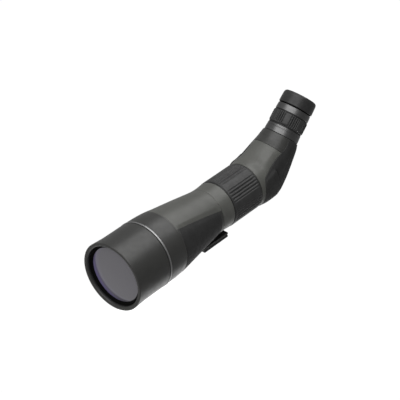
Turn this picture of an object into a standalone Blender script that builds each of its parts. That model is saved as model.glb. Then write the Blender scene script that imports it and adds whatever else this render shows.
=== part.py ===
"""Angled spotting scope with a zoom eyepiece, as an assembly of separate pieces.

Row frame: +Z up, metres. The objective looks along -Y, the eyepiece rises towards +Y at 45 degrees,
and X = 0 is the plane of symmetry. The origin is the centre of the tripod foot's bottom face.

Dimensions are in millimetres and MM turns them into Blender's metres. Two coordinates place nearly
everything: a "station" is a distance behind the front rim along the main axis, and a "reach" is a
distance along the eyepiece axis from a point beside the main axis, inside the prism housing.
"""
from math import cos, pi, radians, sin

import bmesh
import bpy
from mathutils import Matrix, Vector

MM = 0.001

# Layout
AXIS_HEIGHT = 48.5        # main axis above the foot's bottom face
FOOT_STATION = 192.0      # the foot's centre
EYE_STATION = 314.55      # where a reach is zero: station and height above the main axis
EYE_HEIGHT = 1.35
EYEPIECE_ANGLE = radians(45)

# Running and static gaps
GAP = 0.3
STEPS_BODY = 32
STEPS_INNER = 20
STEPS_EYE = 24
STEPS_SMALL = 12

# Sunshade and objective
SHADE_LENGTH = 61.4
SHADE_RADIUS = 49.3
RIM_RADIUS = 50.6
SHADE_BORE = 47.6
LENS_RADIUS = 44.6
LENS_EDGE_FRONT = 8.3
LENS_SURFACE_RADIUS = 330.0
REAR_SURFACE_RADIUS = 295.0

# Main and rear barrel
TRIM_FRONT = 62.1
TRIM_REAR = 64.5
BARREL_FRONT = 64.8
SEAM = 189.4
BARREL_RADIUS = 49.2
WALL = 3.0
RECESS = 1.4
PANEL_PROUD = 0.25

# Focus ring
RING_FRONT = 212.7
RING_REAR = 272.6
RING_RADIUS = 35.7
BEARING_RADIUS = 31.2
FOCUS_TRAVEL = 18.0
FOCUS_TURN = radians(270)
PIN_STATION = 240.0
PIN_RADIUS = 1.5

# Tripod foot
FOOT_LENGTH = 49.0
FOOT_HALF_WIDTH = 19.0
FLANGE_HEIGHT = 8.0
NECK_HALF_WIDTH = 12.5
NECK_ENDS = (-21.0, 19.0)                       # offsets from the foot's centre
FOOT_SCREWS = {"front": -15.5, "rear": 14.5}
FOOT_SOCKETS = {"large": (-5.0, 4.0, 7.0), "small": (5.0, 3.1, 6.0)}   # offset, radius, depth

# Eyepiece
HOUSING_TOP = 46.0
COLLAR_TOP = 58.4
TUBE_RADIUS = 22.2
NOSE_RADIUS = 19.8
ZOOM_TURN = radians(110)
FRONT_ZOOM_TRAVEL = 9.0
REAR_ZOOM_TRAVEL = -6.0
KEY_REACH = 88.0

# Colours: base colour, roughness, metallic
MATERIALS = {
    "charcoal_metal": ((0.085, 0.085, 0.08), 0.45, 0.6),
    "olive_paint": ((0.17, 0.17, 0.155), 0.5, 0.3),
    "black_metal": ((0.02, 0.02, 0.02), 0.55, 0.5),
    "bright_metal": ((0.68, 0.68, 0.67), 0.3, 1.0),
    "armour_rubber": ((0.018, 0.018, 0.018), 0.8, 0.0),
    "grip_rubber": ((0.025, 0.025, 0.025), 0.75, 0.0),
    "seal_rubber": ((0.01, 0.01, 0.01), 0.7, 0.0),
    "steel": ((0.5, 0.5, 0.5), 0.35, 1.0),
    "spring_steel": ((0.4, 0.4, 0.42), 0.3, 1.0),
    "glass": ((0.5, 0.5, 0.6), 0.05, 0.0),
}


# ---------------------------------------------------------------- scene and materials

def clear_scene():
    for item in list(bpy.data.objects):
        bpy.data.objects.remove(item, do_unlink=True)


def make_collection(name):
    group = bpy.data.collections.new(name)
    bpy.context.scene.collection.children.link(group)
    return group


def make_material(name):
    colour, roughness, metallic = MATERIALS[name]
    material = bpy.data.materials.new(name)
    material.use_nodes = True
    shader = material.node_tree.nodes["Principled BSDF"]
    shader.inputs["Base Color"].default_value = (*colour, 1.0)
    shader.inputs["Roughness"].default_value = roughness
    shader.inputs["Metallic"].default_value = metallic
    return material


clear_scene()
SCOPE = make_collection("spotting_scope")
CUTTERS = make_collection("cutters")
FINISH = {name: make_material(name) for name in MATERIALS}

# Places: local +Z runs rearwards along the main axis, or outwards along the eyepiece axis.
MAIN = (Matrix.Translation((0, -FOOT_STATION * MM, AXIS_HEIGHT * MM))
        @ Matrix.Rotation(-pi / 2, 4, "X"))
EYE = (Matrix.Translation((0, (EYE_STATION - FOOT_STATION) * MM, (AXIS_HEIGHT + EYE_HEIGHT) * MM))
       @ Matrix.Rotation(EYEPIECE_ANGLE - pi / 2, 4, "X"))
# Side view: x = station, y = height above the main axis, z = row +X, so outlines extrude across.
SIDE = (Matrix.Translation((0, -FOOT_STATION * MM, AXIS_HEIGHT * MM))
        @ Matrix(((0, 0, 1, 0), (1, 0, 0, 0), (0, 1, 0, 0), (0, 0, 0, 1))))
# Cross-sections in X and Z, extruded along -Y.
ACROSS = Matrix(((1, 0, 0, 0), (0, 0, -1, 0), (0, 1, 0, 0), (0, 0, 0, 1)))


def add_mesh(name, mesh, place, finish):
    """Link a mesh as a piece of the scope, or as a hidden cutter when finish is None."""
    piece = bpy.data.objects.new(name, mesh)
    piece.matrix_world = place
    if finish is None:
        CUTTERS.objects.link(piece)
        piece.hide_render = True
        piece.display_type = "WIRE"
    else:
        SCOPE.objects.link(piece)
        mesh.materials.append(FINISH[finish])
        mesh.shade_smooth()
        mesh.set_sharp_from_angle(angle=radians(30))
    return piece


def combine(piece, other, operation):
    step = piece.modifiers.new(operation.lower(), "BOOLEAN")
    step.operation = operation
    step.object = other
    return piece


# ---------------------------------------------------------------- shape helpers

def turned(name, outline, place, finish, steps=STEPS_BODY):
    """A turned piece. The outline holds (distance along the axis, radius) pairs in millimetres.

    An outline that starts and ends on the axis is a solid; any other closes into a ring.
    """
    pairs = list(outline)
    area = sum(a[1] * b[0] - b[1] * a[0] for a, b in zip(pairs, pairs[1:] + pairs[:1]))
    if area > 0:
        pairs.reverse()
    mesh = bpy.data.meshes.new(name)
    edges = [(i, i + 1) for i in range(len(pairs) - 1)]
    if pairs[0][1] > 0:
        edges.append((len(pairs) - 1, 0))
    mesh.from_pydata([(radius * MM, 0, along * MM) for along, radius in pairs], edges, [])
    piece = add_mesh(name, mesh, place, finish)
    spin = piece.modifiers.new("turn", "SCREW")
    spin.axis = "Z"
    spin.steps = steps
    spin.render_steps = steps
    spin.use_merge_vertices = True
    spin.merge_threshold = 0.00001
    spin.use_smooth_shade = True
    return piece


def ring(name, start, end, inner, outer, place, finish, steps=STEPS_INNER):
    return turned(name, [(start, inner), (start, outer), (end, outer), (end, inner)],
                  place, finish, steps)


def rod(name, radius, start, end, finish, steps=STEPS_SMALL):
    """A cylinder between two points, given in millimetres in the row frame."""
    first, last = Vector(start) * MM, Vector(end) * MM
    shape = bmesh.new()
    bmesh.ops.create_cone(shape, cap_ends=True, segments=steps, radius1=radius * MM,
                          radius2=radius * MM, depth=(last - first).length)
    mesh = bpy.data.meshes.new(name)
    shape.to_mesh(mesh)
    shape.free()
    turn = (last - first).to_track_quat("Z", "Y").to_matrix().to_4x4()
    return add_mesh(name, mesh, Matrix.Translation((first + last) / 2) @ turn, finish)


def box(name, low, high, finish):
    """A box between two corners, given in millimetres in the row frame."""
    low, high = Vector(low) * MM, Vector(high) * MM
    shape = bmesh.new()
    bmesh.ops.create_cube(shape, size=1.0)
    bmesh.ops.scale(shape, vec=high - low, verts=shape.verts)
    mesh = bpy.data.meshes.new(name)
    shape.to_mesh(mesh)
    shape.free()
    return add_mesh(name, mesh, Matrix.Translation((low + high) / 2), finish)


def plate(name, outline, low, high, place, finish):
    """A flat outline in millimetres, extruded from low to high along the place's +Z."""
    curve = bpy.data.curves.new(name + "_outline", "CURVE")
    curve.dimensions = "2D"
    curve.fill_mode = "BOTH"
    curve.extrude = (high - low) / 2 * MM
    spline = curve.splines.new("POLY")
    spline.points.add(len(outline) - 1)
    for point, (across, up) in zip(spline.points, outline):
        point.co = (across * MM, up * MM, 0, 1)
    spline.use_cyclic_u = True
    guide = bpy.data.objects.new(name + "_outline", curve)
    CUTTERS.objects.link(guide)
    bpy.context.view_layer.update()
    mesh = bpy.data.meshes.new_from_object(guide.evaluated_get(bpy.context.evaluated_depsgraph_get()))
    bpy.data.objects.remove(guide, do_unlink=True)
    mesh.materials.clear()
    shape = bmesh.new()
    shape.from_mesh(mesh)
    bmesh.ops.remove_doubles(shape, verts=shape.verts, dist=0.00001)
    bmesh.ops.recalc_face_normals(shape, faces=shape.faces)
    shape.to_mesh(mesh)
    shape.free()
    mesh.name = name
    return add_mesh(name, mesh, place @ Matrix.Translation((0, 0, (low + high) / 2 * MM)), finish)


def skin(name, rings, place, finish, caps=True):
    """A skin over rings of equal point counts, in millimetres, closed at both ends by caps."""
    shape = bmesh.new()
    loops = [[shape.verts.new(Vector(point) * MM) for point in points] for points in rings]
    count = len(loops[0])
    for one, two in zip(loops, loops[1:]):
        for i in range(count):
            j = (i + 1) % count
            shape.faces.new((one[i], one[j], two[j], two[i]))
    if caps:
        shape.faces.new(reversed(loops[0]))
        shape.faces.new(loops[-1])
    if finish is None:
        bmesh.ops.triangulate(shape, faces=shape.faces)
    bmesh.ops.recalc_face_normals(shape, faces=shape.faces)
    mesh = bpy.data.meshes.new(name)
    shape.to_mesh(mesh)
    shape.free()
    return add_mesh(name, mesh, place, finish)


def rounded(corners, cut, count=3):
    """The corners of an open line, each inner one replaced by a short curve of length cut."""
    points = [corners[0]]
    for before, corner, after in zip(corners, corners[1:], corners[2:]):
        here = Vector(corner)
        start = here + (Vector(before) - here).normalized() * cut
        end = here + (Vector(after) - here).normalized() * cut
        for i in range(count + 1):
            t = i / count
            spot = start * (1 - t) ** 2 + here * 2 * t * (1 - t) + end * t ** 2
            points.append((spot.x, spot.y))
    points.append(corners[-1])
    return points


def rounded_polygon(corners, cut, count=3):
    """A closed polygon with each corner rounded."""
    first, last = Vector(corners[0]), Vector(corners[-1])
    middle = tuple((first + last) / 2)
    return rounded([middle, *corners, middle], cut, count)[:-1]


def lens_face(edge, sag, bulge_radius, radius, count=3):
    """Points of a spherical lens face from the axis to the rim; sag < 0 is on the front side."""
    side = 1 if sag > 0 else -1
    depth = bulge_radius - (bulge_radius ** 2 - radius ** 2) ** 0.5
    points = []
    for i in range(count + 1):
        r = radius * i / count
        fall = bulge_radius - (bulge_radius ** 2 - r ** 2) ** 0.5
        points.append((edge + side * (depth - fall), r))
    return points


def lens(name, front, rear, radius, front_bulge, rear_bulge, place, steps=STEPS_INNER):
    """A lens with its edge from front to rear. A positive bulge is convex, a negative one hollow."""
    face_front = lens_face(front, -front_bulge, abs(front_bulge), radius)
    face_rear = lens_face(rear, rear_bulge, abs(rear_bulge), radius)
    return turned(name, face_front + face_rear[::-1], place, "glass", steps)


# ---------------------------------------------------------------- sunshade and objective

def make_sunshade():
    outer = [(0, 45.0), (0, RIM_RADIUS - 1.0), (0.25, RIM_RADIUS - 0.4), (0.9, RIM_RADIUS),
             (6, RIM_RADIUS - 0.3), (22, SHADE_RADIUS + 0.1), (SHADE_LENGTH - 0.8, SHADE_RADIUS),
             (SHADE_LENGTH, SHADE_RADIUS - 0.6)]
    inner = [(SHADE_LENGTH, SHADE_BORE + 0.6), (56.6, SHADE_BORE + 0.6), (56.6, SHADE_BORE),
             (3.4, SHADE_BORE), (3.4, 45.0)]
    turned("sunshade", outer + inner, MAIN, "charcoal_metal")
    ring("sunshade_stop_ring", 56.9, 61.1, 46.75, SHADE_BORE + 0.3, MAIN, "black_metal", STEPS_BODY)


def make_objective():
    band = 47.2
    groove = 16.0
    outline = [(4.0, 45.0), (4.0, band), (groove, band), (groove, 45.9), (groove + 3, 45.9),
               (groove + 3, band), (28.0, band), (28.0, 46.3), (69.8, 46.3), (69.8, 45.2),
               (72.2, 45.2), (72.2, 46.3), (76.0, 46.3), (76.0, 43.6), (24.0, 43.6),
               (20.7, 42.4), (20.7, 45.0)]
    turned("objective_cell", outline, MAIN, "black_metal")
    ring("sunshade_friction_ring", groove + GAP, groove + 3 - GAP, 46.2, 47.3, MAIN, "seal_rubber",
         STEPS_BODY)
    ring("objective_seal", 70.1, 71.9, 45.5, 46.3, MAIN, "seal_rubber", STEPS_BODY)
    turned("objective_retaining_ring",
           [(4.4, 43.2), (4.4, 44.7), (7.6, 44.7), (7.6, 42.4), (5.2, 42.4)], MAIN, "black_metal")
    lens("objective_front_lens", LENS_EDGE_FRONT, 12.3, LENS_RADIUS, LENS_SURFACE_RADIUS,
         REAR_SURFACE_RADIUS, MAIN, STEPS_BODY)
    ring("objective_spacer", 12.9, 13.6, 42.8, LENS_RADIUS, MAIN, "black_metal", STEPS_BODY)
    lens("objective_rear_lens", 13.9, 20.4, LENS_RADIUS, -REAR_SURFACE_RADIUS, 1200.0, MAIN,
         STEPS_BODY)
    turned("trim_ring", [(TRIM_FRONT, 46.7), (TRIM_FRONT, 49.2), (TRIM_FRONT + 0.4, 49.6),
                         (TRIM_REAR - 0.4, 49.6), (TRIM_REAR, 49.2), (TRIM_REAR, 46.7)],
           MAIN, "bright_metal")


# ---------------------------------------------------------------- barrels

def barrel_line():
    """The outer line of both barrels: straight collar, taper, then a flare to the focus ring."""
    shoulder = rounded([(BARREL_FRONT, BARREL_RADIUS), (89.0, BARREL_RADIUS), (150.0, 40.25)], 20, 3)
    neck = rounded([(150.0, 40.25), (192.0, 33.95), (RING_FRONT - 0.5, 35.2)], 12, 2)
    return shoulder + neck[1:]


def barrel_radius(station):
    """Outer radius of the barrels at a station, read from their outer line."""
    line = barrel_line()
    for (a, ra), (b, rb) in zip(line, line[1:]):
        if station <= b:
            return ra + (rb - ra) * max(station - a, 0) / (b - a)
    return line[-1][1]


def barrel_stretch(start, end, offset=0.0):
    """The barrels' outer line between two stations, moved outwards by offset."""
    inside = [s for s, _ in barrel_line() if start < s < end]
    return [(s, barrel_radius(s) + offset) for s in (start, *inside, end)]


PANEL_FRONT = 97.0
PANEL_REAR = 184.5
PANEL_TOP_WIDTH = 29.7    # the panel's upper edge lies in the plane |X| = this
PANEL_LOW_WIDTH = 20.0    # and its lower edge in this one


def edge_height(station, half_width):
    return (barrel_radius(station) ** 2 - half_width ** 2) ** 0.5


def panel_outline(margin):
    """Side-view outline of a grip panel, grown by margin."""
    front, rear = PANEL_FRONT - margin, PANEL_REAR + margin
    corners = [(front, edge_height(front, PANEL_TOP_WIDTH) + margin),
               (rear, edge_height(rear, PANEL_TOP_WIDTH) + margin),
               (rear, -edge_height(rear, PANEL_LOW_WIDTH) - margin),
               (front, -edge_height(front, PANEL_LOW_WIDTH) - margin)]
    return rounded_polygon(corners, 4.0)


def panel_band(name, low, high, margin, finish=None):
    """A turned band that follows the barrel between two offsets from its outer line."""
    start, end = PANEL_FRONT - margin - 2, PANEL_REAR + margin + 2
    outer = barrel_stretch(start, end, high)
    inner = barrel_stretch(start, end, low)
    return turned(name, outer + inner[::-1], MAIN, finish)


def drill_for_foot_screw(barrel, name):
    y = FOOT_SCREWS[name]
    top = AXIS_HEIGHT - barrel_radius(FOOT_STATION + y) + 2.1
    combine(barrel, rod(f"screw_bore_{name}", 1.9, (0, y, 0), (0, y, top), None), "DIFFERENCE")


def make_main_barrel():
    outer = barrel_stretch(BARREL_FRONT, SEAM)
    inner = [(SEAM, 32.4), (175.8, 32.4), (175.8, barrel_radius(175.8) - WALL),
             (110.0, barrel_radius(110) - WALL), (96.0, barrel_radius(96) - WALL), (76.4, 45.6),
             (76.4, 46.65), (BARREL_FRONT, 46.65)]
    barrel = turned("main_barrel", outer + inner, MAIN, "charcoal_metal")
    for side, low, high in (("right", 10, 60), ("left", -60, -10)):
        band = panel_band(f"recess_band_{side}", -RECESS, 6, 0.5)
        window = plate(f"recess_window_{side}", panel_outline(0.15), low, high, SIDE, None)
        combine(window, band, "INTERSECT")
        combine(barrel, window, "DIFFERENCE")
        pad = plate(f"grip_panel_{side}", panel_outline(-0.15), low, high, SIDE, "armour_rubber")
        combine(pad, panel_band(f"pad_band_{side}", GAP - RECESS, PANEL_PROUD, 0.3), "INTERSECT")
    drill_for_foot_screw(barrel, "front")
    ring("barrel_baffle_front", 110.0, 111.2, 37.0, 42.2, MAIN, "black_metal")
    ring("barrel_baffle_rear", 150.0, 151.2, 30.0, 36.4, MAIN, "black_metal")


def make_rear_barrel():
    outline = [(177.0, 27.8), (177.0, 32.0), (182.8, 32.0), (182.8, 31.0), (185.2, 31.0),
               (185.2, 32.0), (SEAM + GAP, 32.0)]
    outline += barrel_stretch(SEAM + GAP, RING_FRONT - 0.4)
    outline += [(RING_FRONT - 0.4, BEARING_RADIUS), (281.0, BEARING_RADIUS), (281.0, 27.8)]
    barrel = turned("rear_barrel", outline, MAIN, "olive_paint")
    ring("barrel_seal", 183.1, 184.9, 31.3, 32.1, MAIN, "seal_rubber", STEPS_BODY)
    margin = PIN_RADIUS + 0.5
    start = PIN_STATION - margin - FOOT_STATION
    slot = box("pin_slot", (-margin, start, AXIS_HEIGHT + 25),
               (margin, start + FOCUS_TRAVEL + 2 * margin, AXIS_HEIGHT + BEARING_RADIUS + 2), None)
    combine(barrel, slot, "DIFFERENCE")
    drill_for_foot_screw(barrel, "rear")


# ---------------------------------------------------------------- focusing

def helix(angle, along_start, along_turn, width, inner, outer, steps):
    """Rings of a square thread that follows a turn of the given angle about local Z."""
    rings = []
    for i in range(steps + 1):
        turn = angle * i / steps
        middle = along_start + along_turn * i / steps
        corners = ((inner, -width), (outer, -width), (outer, width), (inner, width))
        rings.append([(r * cos(turn), r * sin(turn), middle + half) for r, half in corners])
    return rings


def make_focus_ring():
    bore = BEARING_RADIUS + 0.4
    sleeve = turned("focus_ring_sleeve",
                    [(RING_FRONT, bore), (RING_FRONT, 34.9), (RING_FRONT + 0.9, 34.9),
                     (RING_FRONT + 0.9, 33.9), (RING_REAR - 0.9, 33.9), (RING_REAR - 0.9, 34.9),
                     (RING_REAR, 34.9), (RING_REAR, bore)], MAIN, "black_metal")
    # The thread starts and ends a little past the pin, and rises as the ring turns the other way.
    spare = radians(9)
    lead = FOCUS_TRAVEL / FOCUS_TURN
    turn_total = FOCUS_TURN + 2 * spare
    rings = helix(-turn_total, PIN_STATION - spare * lead, turn_total * lead, PIN_RADIUS + 0.7,
                  bore - 1.5, 33.2, 27)
    facing = Matrix.Rotation(-pi / 2 + spare, 4, "Z")
    combine(sleeve, skin("focus_thread", rings, MAIN @ facing, None), "DIFFERENCE")
    turned("focus_ring_grip",
           [(RING_FRONT + 1.2, 34.2), (RING_FRONT + 1.2, RING_RADIUS - 0.6),
            (RING_FRONT + 2.0, RING_RADIUS), (RING_REAR - 2.0, RING_RADIUS),
            (RING_REAR - 1.2, RING_RADIUS - 0.6), (RING_REAR - 1.2, 34.2)], MAIN, "grip_rubber")


def make_focus_carriage():
    carriage = turned("focus_carriage",
                      [(224, 25.0), (224, 27.3), (248, 27.3), (248, 22.4), (236.6, 22.4),
                       (236.6, 25.0)], MAIN, "black_metal", STEPS_INNER)
    y = PIN_STATION - FOOT_STATION
    pin_base = AXIS_HEIGHT + 23.4
    hole = rod("pin_hole", PIN_RADIUS + GAP, (0, y, pin_base - GAP), (0, y, AXIS_HEIGHT + 30), None)
    combine(carriage, hole, "DIFFERENCE")
    rod("focus_drive_pin", PIN_RADIUS, (0, y, pin_base), (0, y, AXIS_HEIGHT + 32.6), "steel")
    lens("focusing_lens", 231.4, 236.2, 24.6, -160.0, -240.0, MAIN)
    ring("focusing_lens_retainer", 227.6, 231.1, 22.8, 24.6, MAIN, "black_metal")


# ---------------------------------------------------------------- tripod foot

def make_foot():
    half = FOOT_LENGTH / 2
    right = [(FOOT_HALF_WIDTH - 0.8, 0), (FOOT_HALF_WIDTH, 0.8), (FOOT_HALF_WIDTH, 2.6),
             (FOOT_HALF_WIDTH - 1.0, 4.2), (FOOT_HALF_WIDTH, 5.8), (FOOT_HALF_WIDTH, FLANGE_HEIGHT)]
    flange = right + [(-x, z) for x, z in reversed(right)]
    foot = plate("tripod_foot", flange, -half, half, ACROSS, "black_metal")
    neck = box("foot_neck", (-NECK_HALF_WIDTH, NECK_ENDS[0], FLANGE_HEIGHT - 3),
               (NECK_HALF_WIDTH, NECK_ENDS[1], 17.5), None)
    combine(foot, neck, "UNION")
    saddle = turned("foot_saddle", [(150.0, 0.0), *barrel_stretch(150.0, 212.2, 0.35), (212.2, 0.0)],
                    MAIN, None)
    combine(foot, saddle, "DIFFERENCE")
    for name, (y, radius, depth) in FOOT_SOCKETS.items():
        socket = rod(f"socket_{name}", radius, (0, y, -5), (0, y, depth), None, 20)
        combine(foot, socket, "DIFFERENCE")
    for name, y in FOOT_SCREWS.items():
        place = Matrix.Translation((0, y * MM, 0))
        bore = turned(f"foot_screw_bore_{name}", [(-5, 0), (-5, 3.6), (3.4, 3.6), (3.4, 1.9),
                                                  (20, 1.9), (20, 0)], place, None, STEPS_SMALL)
        combine(foot, bore, "DIFFERENCE")
        tip = AXIS_HEIGHT - barrel_radius(FOOT_STATION + y) + 1.7
        turned(f"foot_screw_{name}", [(0.6, 0), (0.6, 3.2), (3.0, 3.2), (3.0, 1.5), (tip, 1.5),
                                      (tip, 0)], place, "steel", STEPS_SMALL)


# ---------------------------------------------------------------- prism housing

# Each section of the housing: top point, bottom point (station, height), half width, and how
# square its upper and lower halves are (2 is an ellipse).
SECTIONS = (
    ((273.3, 35.2), (273.3, -35.2), 35.2, 2.0, 2.0),
    ((280.0, 35.7), (284.0, -35.0), 35.3, 2.0, 2.2),
    ((286.5, 36.3), (297.0, -34.4), 34.8, 2.35, 2.5),
    ((292.0, 37.4), (309.0, -33.4), 34.2, 2.35, 2.7),
    ((297.0, 39.2), (319.0, -31.2), 33.8, 2.35, 2.8),
    ((302.0, 41.7), (327.0, -27.4), 33.2, 2.35, 2.8),
    ((307.0, 44.4), (336.0, -20.4), 32.2, 2.35, 2.7),
    ((312.5, 47.4), (345.5, -12.0), 31.0, 2.35, 2.6),
    ((318.4, 50.7), (355.4, -0.4), 30.0, 2.2, 2.4),
    ((326.5, 54.5), (367.6, 13.3), 29.1, 2.0, 2.0),
)
HOUSING_WALL = 3.4
CLAMP_STATION = 302.0
HOUSING_POINTS = 24


def housing_rings(grow=0.0):
    """Section rings of the housing in side-view coordinates, grown outwards by grow."""
    rings = []
    for top, bottom, half_width, upper, lower in SECTIONS:
        top, bottom = Vector(top), Vector(bottom)
        middle = (top + bottom) / 2
        up = (top - bottom).normalized()
        half_height = (top - bottom).length / 2 + grow
        points = []
        for i in range(HOUSING_POINTS):
            turn = 2 * pi * i / HOUSING_POINTS
            c, s = cos(turn), sin(turn)
            power = upper if s >= 0 else lower
            width = (half_width + grow) * abs(c) ** (2 / power) * (1 if c >= 0 else -1)
            height = half_height * abs(s) ** (2 / power) * (1 if s >= 0 else -1)
            spot = middle + up * height
            points.append((spot.x, spot.y, width))
        rings.append(points)
    return rings


PANEL_CORNERS = ((287.5, 20.0), (300.0, 31.0), (316.0, 38.0), (333.0, 45.0), (352.0, 26.0),
                 (343.0, 4.0), (330.0, -14.0), (316.0, -24.0), (289.0, -24.0))


def make_prism_housing():
    housing = skin("prism_housing", housing_rings(), SIDE, "olive_paint", caps=False)
    shell = housing.modifiers.new("wall", "SOLIDIFY")
    shell.thickness = HOUSING_WALL * MM
    shell.offset = -1
    shell.use_even_offset = True
    for side, low, high in (("right", 8, 60), ("left", -60, -8)):
        pad = plate(f"prism_side_panel_{side}", rounded_polygon(PANEL_CORNERS, 2.5, 2), low, high,
                    SIDE, "armour_rubber")
        combine(pad, skin(f"pad_outside_{side}", housing_rings(1.2), SIDE, None), "INTERSECT")
        combine(pad, skin(f"pad_inside_{side}", housing_rings(0.3), SIDE, None), "DIFFERENCE")


def make_prism():
    profile = [(297, -24), (297, 19), (316, 28.5), (344, 0.5), (331, -17)]
    half = 19.0
    prism = plate("roof_prism", profile, -half, half, SIDE, "glass")
    shape = bmesh.new()
    shape.from_mesh(prism.data)
    for side in (1, -1):
        geometry = shape.verts[:] + shape.edges[:] + shape.faces[:]
        slope = Vector((0.12, -1.0, side)).normalized()
        cut = bmesh.ops.bisect_plane(shape, geom=geometry, plane_co=Vector((297, -24, 0)) * MM,
                                     plane_no=slope, clear_outer=True)
        edges = [item for item in cut["geom_cut"] if isinstance(item, bmesh.types.BMEdge)]
        bmesh.ops.holes_fill(shape, edges=edges)
    bmesh.ops.recalc_face_normals(shape, faces=shape.faces)
    shape.to_mesh(prism.data)
    shape.free()

    holder = ring("prism_holder", 281.4, 284.6, 18.5, 30.0, MAIN, "black_metal")
    base = AXIS_HEIGHT
    for side in (1, -1):
        inner, outer = sorted((side * 19.5, side * 22.0))
        arm = box(f"holder_arm_{side}", (inner, 283.5 - FOOT_STATION, base - 12),
                  (outer, 325.0 - FOOT_STATION, base + 12), None)
        combine(holder, arm, "UNION")
    outside = [(24.2, -2), (24.2, 20.4), (20.2, 25.2)]
    inside = [(19.5, 23.7), (22.6, 19.8), (22.6, -2)]
    strap = outside + [(-x, z) for x, z in reversed(outside)]
    strap += [(-x, z) for x, z in reversed(inside)] + inside
    y = CLAMP_STATION - FOOT_STATION
    clamp = plate("prism_clamp", strap, -3, 3, Matrix.Translation((0, y * MM, base * MM)) @ ACROSS,
                  "spring_steel")
    for name, side in (("right", 1), ("left", -1)):
        hole = rod(f"clamp_hole_{name}", 1.5, (side * 18, y, base + 5), (side * 27, y, base + 5), None)
        combine(holder, hole, "DIFFERENCE")
        combine(clamp, hole, "DIFFERENCE")
        place = (Matrix.Translation((0, y * MM, (base + 5) * MM))
                 @ Matrix.Rotation(side * pi / 2, 4, "Y"))
        turned(f"clamp_screw_{name}", [(19.6, 0), (19.6, 1.2), (24.5, 1.2), (24.5, 2.6), (26.0, 2.6),
                                       (26.0, 0)], place, "steel", STEPS_SMALL)


# ---------------------------------------------------------------- eyepiece

def make_eyepiece_body():
    turned("eyepiece_collar",
           [(40.6, 19.6), (40.6, 24.4), (HOUSING_TOP + GAP, 24.4), (HOUSING_TOP + GAP, 29.2),
            (COLLAR_TOP - 0.5, 26.8), (COLLAR_TOP, 26.3), (COLLAR_TOP, 22.6), (42.0, 22.6),
            (42.0, 19.6)], EYE, "charcoal_metal", STEPS_EYE)
    ring("prism_window", 42.3, 44.6, 0.0, TUBE_RADIUS, EYE, "glass", STEPS_EYE)
    body = turned("eyepiece_body",
                  [(45.0, 18.3), (45.0, TUBE_RADIUS), (101.2, TUBE_RADIUS), (101.2, NOSE_RADIUS),
                   (117.0, NOSE_RADIUS), (117.0, 18.0), (108.0, 18.0), (108.0, 16.2), (96.5, 16.2),
                   (96.5, 18.3)], EYE, "black_metal", STEPS_EYE)
    turned("scale_ring", [(COLLAR_TOP + GAP, 22.6), (COLLAR_TOP + GAP, 25.8),
                          (COLLAR_TOP + 0.8, 26.2), (66.6, 25.9), (66.8, 25.5), (67.2, 25.5),
                          (67.4, 25.8), (70.4, 25.7), (70.9, 25.2), (70.9, 22.6)],
           EYE, "bright_metal", STEPS_EYE)
    turned("eyepiece_upper_ring", [(92.4, 22.6), (92.4, 25.1), (93.0, 25.6), (101.6, 25.1),
                                   (102.2, 24.5), (102.2, 22.6)], EYE, "bright_metal", STEPS_EYE)
    return body


def make_zoom_ring(body):
    turned("zoom_ring_sleeve", [(71.3, 22.7), (71.3, 25.2), (72.2, 25.2), (72.2, 24.2), (91.2, 24.2),
                                (91.2, 25.2), (92.0, 25.2), (92.0, 22.7)], EYE, "black_metal",
           STEPS_EYE)
    turned("zoom_ring_grip", [(72.5, 24.5), (72.5, 25.3), (74.2, 26.3), (89.8, 26.3), (90.9, 25.7),
                              (90.9, 24.5)], EYE, "grip_rubber", STEPS_EYE)
    # The key turns with the zoom ring and reaches the cam tube through a slot in the body.
    key_radius = 1.2
    window = key_radius + 0.5
    spare = radians(6)
    total = ZOOM_TURN + 2 * spare
    rings = helix(total, KEY_REACH, 0.0, window, 17.4, 23.4, 12)
    combine(body, skin("key_slot", rings, EYE @ Matrix.Rotation(-spare, 4, "Z"), None), "DIFFERENCE")
    key_place = EYE @ Matrix.Translation((0, 0, KEY_REACH * MM)) @ Matrix.Rotation(pi / 2, 4, "Y")
    turned("zoom_key", [(18.2, 0), (18.2, key_radius), (22.3, key_radius), (22.3, 0)], key_place,
           "steel", STEPS_SMALL)


def zoom_group(body, cam, name, reach, travel, facing, bulges):
    """One moving lens group: cell, lens, and a pin in a cam slot and a straight body groove."""
    pin_radius = 1.0
    radius = 15.6
    cell = turned(f"zoom_{name}_cell", [(reach - 3.4, 12.6), (reach - 3.4, radius),
                                        (reach + 3.4, radius), (reach + 3.4, 13.6),
                                        (reach - 2.0, 13.6), (reach - 2.0, 12.6)], EYE,
                  "black_metal")
    lens(f"zoom_{name}_lens", reach - 1.6, reach + 1.4, 13.3, *bulges, EYE)
    turn = Matrix.Rotation(facing, 4, "Z")
    pin_place = EYE @ turn @ Matrix.Translation((0, 0, reach * MM)) @ Matrix.Rotation(pi / 2, 4, "Y")
    hole = rod_at(f"zoom_{name}_pin_hole", pin_radius + GAP, 14.3, 20.0, pin_place)
    combine(cell, hole, "DIFFERENCE")
    turned(f"zoom_{name}_pin", [(14.6, 0), (14.6, pin_radius), (19.4, pin_radius), (19.4, 0)],
           pin_place, "steel", STEPS_SMALL)
    # The helical slot in the cam tube.
    spare = radians(5)
    total = ZOOM_TURN + 2 * spare
    lead = travel / ZOOM_TURN
    rings = helix(-total, reach - spare * lead, total * lead, pin_radius + 0.6, 14.8, 19.0, 12)
    slot_place = EYE @ turn @ Matrix.Rotation(spare, 4, "Z")
    combine(cam, skin(f"zoom_{name}_cam_slot", rings, slot_place, None), "DIFFERENCE")
    # The straight groove in the body.
    low, high = sorted((reach, reach + travel))
    groove = straight_key(f"zoom_{name}_groove", pin_radius + 0.4, 17.0, 20.2, low - 1.8, high + 1.8,
                          EYE @ turn)
    combine(body, groove, "DIFFERENCE")


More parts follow.
